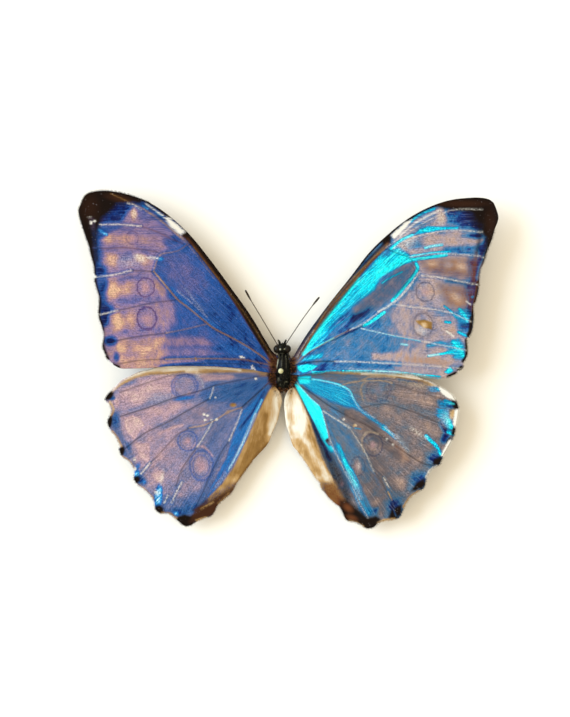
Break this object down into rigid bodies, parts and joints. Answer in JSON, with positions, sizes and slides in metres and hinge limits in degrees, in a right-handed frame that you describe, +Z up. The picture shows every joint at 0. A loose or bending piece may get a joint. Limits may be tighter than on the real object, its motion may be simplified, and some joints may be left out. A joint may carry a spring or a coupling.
{
  "type": "pinned butterfly specimen",
  "caption": "Large blue butterfly, dried and pinned with its wings spread flat, lying on its underside for display.",
  "frame": {"origin": "on the surface the specimen rests on, under the middle of its outline seen from above", "axes": "+X towards the butterfly's right wings, +Y towards its head, +Z up out of the wings' upper faces"},
  "size_m": [0.1198, 0.0965, 0.01],
  "materials": {
    "body": "matt black-brown chitin with fine hair",
    "forewings": "iridescent blue to violet scales with a metallic sheen, black-brown tip, tan patches near the margin",
    "hindwings": "iridescent blue to violet scales, black scalloped margin, golden-cream inner margin",
    "antennae": "dark brown horn, slightly glossy",
    "pin": "cream enamelled head on a thin steel shaft"
  },
  "bodies": {
    "root": {"body": "body", "forewing_left": "forewings", "forewing_right": "forewings", "hindwing_left": "hindwings", "hindwing_right": "hindwings", "antenna_left": "antennae", "antenna_right": "antennae", "pin": "pin"}
  },
  "joints": []
}
